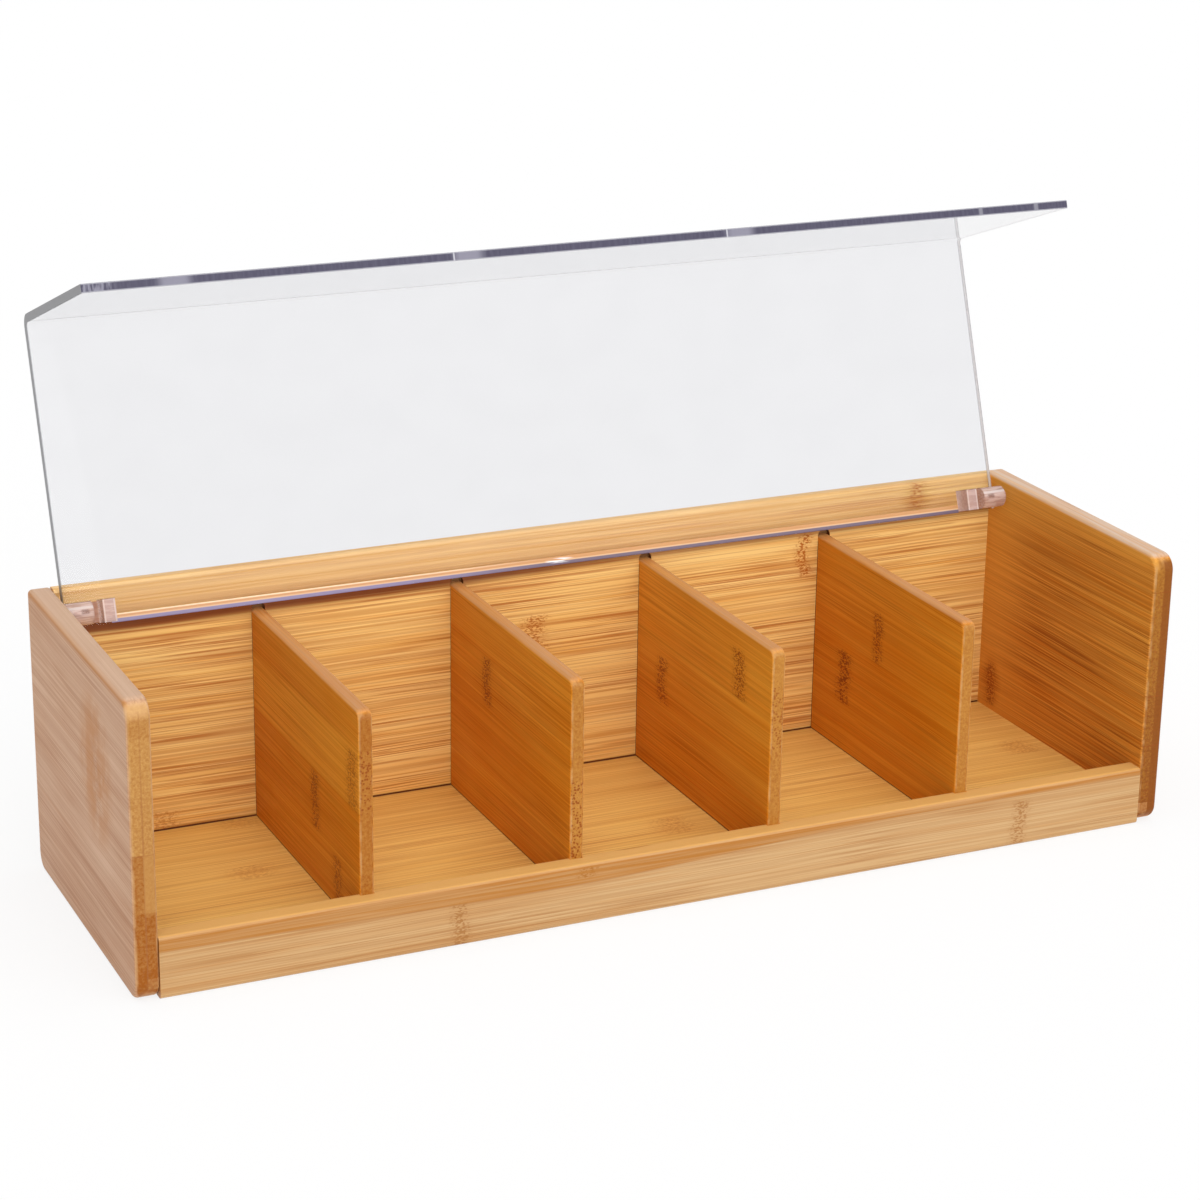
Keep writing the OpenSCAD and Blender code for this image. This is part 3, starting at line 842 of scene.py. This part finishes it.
def pin_steel(look):
    """Pale steel with fine turned rings."""
    material, tree, shader = new_material("Pin steel")
    x, y, z = place_mm(tree)
    rings = streaky(tree, x, y, z, 0.0, 9.0, 0.3)
    fill(tree, shader, {
        "Base Color": blend_colour(tree, rings, look.steel, STEEL_SHADE),
        "Roughness": scaled(tree, rings, 0.2, 0.32),
        "Normal": bumped(tree, rings, 0.2, 0.05),
        "Metallic": 1.0,
    })
    return material


# ---------- steps

# A strip is where it starts across the grain, its tone, its end tone and its pores. A knuckle is its place along and
# across the grain, its half height, its half length and its strength. Lengths are in millimetres.


class TEABOX_OT_sides(bpy.types.Operator):
    """Dresses the two side panels and the plugs in their grooves"""

    bl_idname = "teabox.sides"
    bl_label = "Side Panels"

    def execute(self, context):
        strips = [(-9.0, 0.6, 1.0, 0.3), (11.0, 0.55, 0.85, 0.2), (30.7, 0.45, 0.7, 0.15), (50.4, 0.35, 0.3, 0.25),
                  (70.1, 0.3, 0.25, 0.2), (89.8, 0.4, 0.4, 0.1)]
        left = bamboo(
            "Bamboo, left side", "YZX", "side", 3.1, strips, knuckles=[(*LEFT_CLOUD, 14.0, 8.0, 0.3)],
            clouds=0.9, fibres=0.38, streaks=0.25, shine=0.2, touches=left_side_touches,
        )
        dress(left, "left_side_panel")
        strips = [(-9.0, 0.72, 0.9, 0.3), (10.5, 0.6, 0.8, 0.3), (30.1, 0.6, 0.75, 0.3), (49.6, 0.5, 0.6, 0.4),
                  (69.3, 0.55, 0.55, 0.4), (89.0, 0.4, 0.5, 0.2)]
        right = bamboo(
            "Bamboo, right side", "YZX", "right", 8.7, strips, knuckles=[(*RIGHT_KNOT, 9.5, 5.0, 0.9)],
            fibres=0.75, shine=0.2, touches=right_side_touches,
        )
        dress(right, "right_side_panel")
        plug = bamboo("Bamboo, plugs", "YZX", "side", 1.4, [(0.0, 0.8, 0.75, 0.2)], fibres=0.3, streaks=0.2, shine=0.35)
        dress(plug, "groove_plug_left", "groove_plug_right")
        return {"FINISHED"}


class TEABOX_OT_back(bpy.types.Operator):
    """Dresses the back panel"""

    bl_idname = "teabox.back"
    bl_label = "Back Panel"

    def execute(self, context):
        knuckles = [(*BACK_KNOT, 5.5, 5.0, 0.8), (-7.0, 60.0, 10.0, 7.0, 0.9), (104.0, 79.0, 9.0, 4.0, 1.0),
                    (-149.0, 11.5, 3.5, 8.0, 0.55)]
        strips = [(0.0, 0.55, 0.6, 0.3), (10.0, 0.42, 0.5, 0.3), (30.0, 0.32, 0.6, 0.3), (50.0, 0.45, 0.4, 0.3),
                  (69.5, 0.35, 0.5, 0.3), (88.0, 0.65, 0.6, 0.3), (96.4, 0.1, 0.6, 0.3)]
        back = bamboo(
            "Bamboo, back", "XZY", "back", 5.3, strips, knuckles,
            fibres=0.8, streaks=0.35, shine=0.3, touches=back_touches, seams=back_seam,
        )
        dress(back, "back_panel")
        return {"FINISHED"}


class TEABOX_OT_floor(bpy.types.Operator):
    """Dresses the floor panel"""

    bl_idname = "teabox.floor"
    bl_label = "Floor Panel"

    def execute(self, context):
        knuckles = [(-132.0, -49.0, 6.0, 11.0, 0.5), (-122.0, -6.0, 6.0, 11.0, 0.4), (20.0, -68.0, 8.0, 10.0, 0.5),
                    (174.0, -51.0, 7.0, 9.0, 0.55)]
        strips = [(-112.0, 0.5, 0.5, 0.2), (-98.0, 0.35, 0.5, 0.2), (-78.0, 0.45, 0.5, 0.2), (-58.0, 0.4, 0.5, 0.2),
                  (-38.0, 0.45, 0.5, 0.2), (-18.0, 0.55, 0.5, 0.2)]
        floor = bamboo(
            "Bamboo, floor", "XYZ", "floor", 9.2, strips, knuckles, fibres=0.6, streaks=0.3, seams=floor_seam,
        )
        dress(floor, "floor_panel")
        return {"FINISHED"}


class TEABOX_OT_rail(bpy.types.Operator):
    """Dresses the front rail and the dowels that hold it"""

    bl_idname = "teabox.rail"
    bl_label = "Front Rail"

    def execute(self, context):
        knuckles = [(-82.0, 7.7, 8.5, 4.5, 0.8), (134.0, 9.0, 9.0, 4.5, 0.8), (-36.5, 18.9, 2.2, 5.0, 1.0)]
        rail = bamboo(
            "Bamboo, rail", "XZY", "rail", 2.6, [(0.0, 0.1, 0.5, 0.2)], knuckles,
            fibres=0.6, streaks=0.3, shine=0.3, touches=rail_touches,
        )
        dress(rail, "front_rail")
        dowel = bamboo("Dowel wood", "XZY", "rail", 4.4, [(0.0, 0.3, 0.4, 0.2)], fibres=0.3, streaks=0.1)
        dress(dowel, "rail_dowel_left", "rail_dowel_right")
        return {"FINISHED"}


class TEABOX_OT_dividers(bpy.types.Operator):
    """Dresses the four dividers"""

    bl_idname = "teabox.dividers"
    bl_label = "Dividers"

    def execute(self, context):
        knuckles = [
            [(-66.0, 39.0, 11.0, 6.0, 0.9), (-88.0, 18.0, 9.0, 6.0, 0.8), (-103.0, 60.0, 11.0, 7.0, 0.7)],
            [(-37.0, 60.5, 9.5, 5.5, 1.0)],
            [(-85.0, 69.0, 9.5, 6.5, 0.9), (-24.0, 46.0, 9.5, 6.0, 0.9)],
            [(-50.0, 60.5, 10.5, 5.0, 0.9), (-26.5, 37.0, 11.0, 7.0, 1.0)],
        ]
        strips = [
            [(6.0, 0.8, 0.7, 0.3), (28.0, 1.0, 0.7, 0.2), (50.0, 0.4, 0.65, 0.9), (72.0, 0.7, 0.8, 0.2)],
            [(6.0, 0.8, 0.35, 0.9), (28.0, 0.85, 0.35, 0.9), (49.3, 0.85, 0.5, 0.3), (71.3, 0.7, 0.5, 0.2)],
            [(6.0, 0.9, 0.45, 0.1), (28.0, 0.75, 0.45, 0.3), (49.6, 0.48, 0.4, 0.7), (72.5, 0.45, 0.35, 0.1)],
            [(6.0, 0.7, 0.45, 0.1), (29.0, 0.85, 0.45, 0.2), (51.0, 0.8, 0.4, 0.2), (73.6, 0.65, 0.45, 0.1)],
        ]
        for number in range(4):
            material = bamboo(
                "Bamboo, divider %d" % (number + 1), "YZX", "divider", 11.3 + 2.7 * number, strips[number],
                knuckles=knuckles[number], fibres=0.36, shine=0.2, touches=divider_touches, seams=divider_seams,
            )
            dress(material, "divider_%d" % (number + 1))
        return {"FINISHED"}


class TEABOX_OT_lid(bpy.types.Operator):
    """Dresses the clear folding lid and lays thin strips over its sawn edge, its two ends and its foot"""

    bl_idname = "teabox.lid"
    bl_label = "Lid"

    def execute(self, context):
        look = context.scene.tea_box_clear
        dress(clear_sheet(look), "lid")
        lid_strip("lid_sawn_edge", edge_outline(), -SHEET_W, SHEET_W, sawn_edge(look))
        tucked, proud = 0.02 * MM, 0.03 * MM
        inner, outer = SHEET_W - tucked, SHEET_W + proud
        end_look = sheet_end(look)
        lid_strip("lid_left_end", sheet_outline(tucked), -outer, -inner, end_look)
        lid_strip("lid_right_end", sheet_outline(tucked), inner, outer, end_look)
        left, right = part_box("hinge_block_left")[1][0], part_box("hinge_block_right")[0][0]
        lid_strip("lid_foot_bead", foot_outline(), left, right, polished_foot(look))
        return {"FINISHED"}


class TEABOX_OT_hinges(bpy.types.Operator):
    """Dresses the clear hinge mouldings and their steel pins"""

    bl_idname = "teabox.hinges"
    bl_label = "Hinges"

    def execute(self, context):
        look = context.scene.tea_box_clear
        dress(clear_moulding(look), "hinge_block_left", "hinge_block_right")
        dress(pin_steel(look), "hinge_pin_left", "hinge_pin_right")
        return {"FINISHED"}


# ---------- stage


def seen_rays(tree):
    """1 for rays that come from the camera, a reflection or a clear part."""
    path = put(tree, "LightPath").outputs
    return most(tree, path["Is Camera Ray"], path["Is Glossy Ray"], path["Is Transmission Ray"])


def from_side(azimuth, elevation):
    """The direction from the box towards a place at an angle round it and above the table."""
    flat_share = math.cos(elevation)
    return Vector((math.sin(azimuth) * flat_share, -math.cos(azimuth) * flat_share, math.sin(elevation)))


def sun(name, azimuth, elevation, energy, spread):
    """A soft far lamp that shines on the box from one side, with its angles in degrees."""
    lamp = bpy.data.lights.new(name, "SUN")
    lamp.energy = energy
    lamp.angle = math.radians(spread)
    holder = bpy.data.objects.new(name, lamp)
    towards = from_side(math.radians(azimuth), math.radians(elevation))
    holder.rotation_mode = "QUATERNION"
    holder.rotation_quaternion = towards.to_track_quat("Z", "Y")
    holder.location = towards * 2
    bpy.context.scene.collection.objects.link(holder)


def white_table(scene):
    """A wide white table that glows where it is seen, so that it fades into the room."""
    mesh = bpy.data.meshes.new("Table")
    mesh.from_pydata([(-20, -20, 0), (20, -20, 0), (20, 20, 0), (-20, 20, 0)], [], [(0, 1, 2, 3)])
    table = bpy.data.objects.new("Table", mesh)
    scene.collection.objects.link(table)
    material = bpy.data.materials.new("White table")
    tree = blank(material)
    paper = put(tree, "BsdfDiffuse", {"Color": flat(PAPER_WHITE)})
    glow = put(tree, "Emission", {"Color": flat(WHITE), "Strength": 1.0})
    mixed = put(tree, "MixShader", {0: times(tree, seen_rays(tree), 0.8), 1: paper.outputs[0], 2: glow.outputs[0]})
    put(tree, "OutputMaterial", {"Surface": mixed.outputs[0]})
    mesh.materials.append(material)


def white_room(scene, dimmed):
    """A white room that lights the box at a dimmed strength and looks fully white."""
    world = bpy.data.worlds.new("White room")
    tree = blank(world)
    brightness = span(tree, seen_rays(tree), 0.0, 1.0, dimmed, 1.0, smooth=False)
    light = put(tree, "Background", {"Color": flat(WHITE), "Strength": brightness})
    put(tree, "OutputWorld", {"Surface": light.outputs[0]})
    scene.world = world


def set_camera(scene, studio):
    """The camera, aimed at its target from its own side and rolled a little."""
    lens = bpy.data.cameras.new("Camera")
    lens.sensor_width = 36
    lens.lens = studio.lens
    lens.clip_start = 0.01
    lens.clip_end = 100
    camera = bpy.data.objects.new("Camera", lens)
    scene.collection.objects.link(camera)
    back = from_side(studio.azimuth, studio.elevation)
    right = Vector((0, 0, 1)).cross(back).normalized()
    up = back.cross(right)
    turned_right = right * math.cos(studio.roll) + up * math.sin(studio.roll)
    turned_up = up * math.cos(studio.roll) - right * math.sin(studio.roll)
    turn = Matrix((turned_right, turned_up, back)).transposed().to_4x4()
    turn.translation = Vector(studio.target) + back * studio.distance
    camera.matrix_world = turn
    scene.camera = camera


class TEABOX_OT_stage(bpy.types.Operator):
    """Sets the table, the lamps, the room light and the camera"""

    bl_idname = "teabox.stage"
    bl_label = "Stage"

    def execute(self, context):
        scene = context.scene
        studio = scene.tea_box_studio
        white_table(scene)
        white_room(scene, studio.room)
        sun("Key lamp", -14, 20, studio.key, 55)
        sun("Fill lamp", 24, 20, studio.fill, 60)
        sun("Overhead lamp", 0, 85, studio.overhead, 70)
        set_camera(scene, studio)
        scene.view_settings.view_transform = "Standard"
        return {"FINISHED"}


# ---------- panel and start


class TEABOX_PT_panel(bpy.types.Panel):
    """Lists the steps that dress the box"""

    bl_idname = "TEABOX_PT_panel"
    bl_label = "Tea Box"
    bl_space_type = "VIEW_3D"
    bl_region_type = "UI"
    bl_category = "Tea Box"

    def draw(self, context):
        for step in OPERATORS:
            self.layout.operator(step.bl_idname)
        for group in ("tea_box_bamboo", "tea_box_clear", "tea_box_studio"):
            settings = getattr(context.scene, group)
            box = self.layout.box()
            for name in settings.__annotations__:
                box.prop(settings, name)


OPERATORS = (
    TEABOX_OT_sides, TEABOX_OT_back, TEABOX_OT_floor, TEABOX_OT_rail, TEABOX_OT_dividers, TEABOX_OT_lid,
    TEABOX_OT_hinges, TEABOX_OT_stage,
)
GROUPS = {"tea_box_bamboo": TEABOX_PG_bamboo, "tea_box_clear": TEABOX_PG_clear, "tea_box_studio": TEABOX_PG_studio}


def register():
    """Adds the settings, the steps and the panel."""
    for name, group in GROUPS.items():
        bpy.utils.register_class(group)
        setattr(bpy.types.Scene, name, PointerProperty(type=group))
    for step in (*OPERATORS, TEABOX_PT_panel):
        bpy.utils.register_class(step)


def unregister():
    """Takes them away again."""
    for step in (*OPERATORS, TEABOX_PT_panel):
        bpy.utils.unregister_class(step)
    for name, group in GROUPS.items():
        delattr(bpy.types.Scene, name)
        bpy.utils.unregister_class(group)


def main():
    """Dresses the box, one step after another."""
    register()
    bpy.ops.teabox.stage()
    bpy.ops.teabox.sides()
    bpy.ops.teabox.back()
    bpy.ops.teabox.floor()
    bpy.ops.teabox.rail()
    bpy.ops.teabox.dividers()
    bpy.ops.teabox.lid()
    bpy.ops.teabox.hinges()


if __name__ == "__main__":
    main()
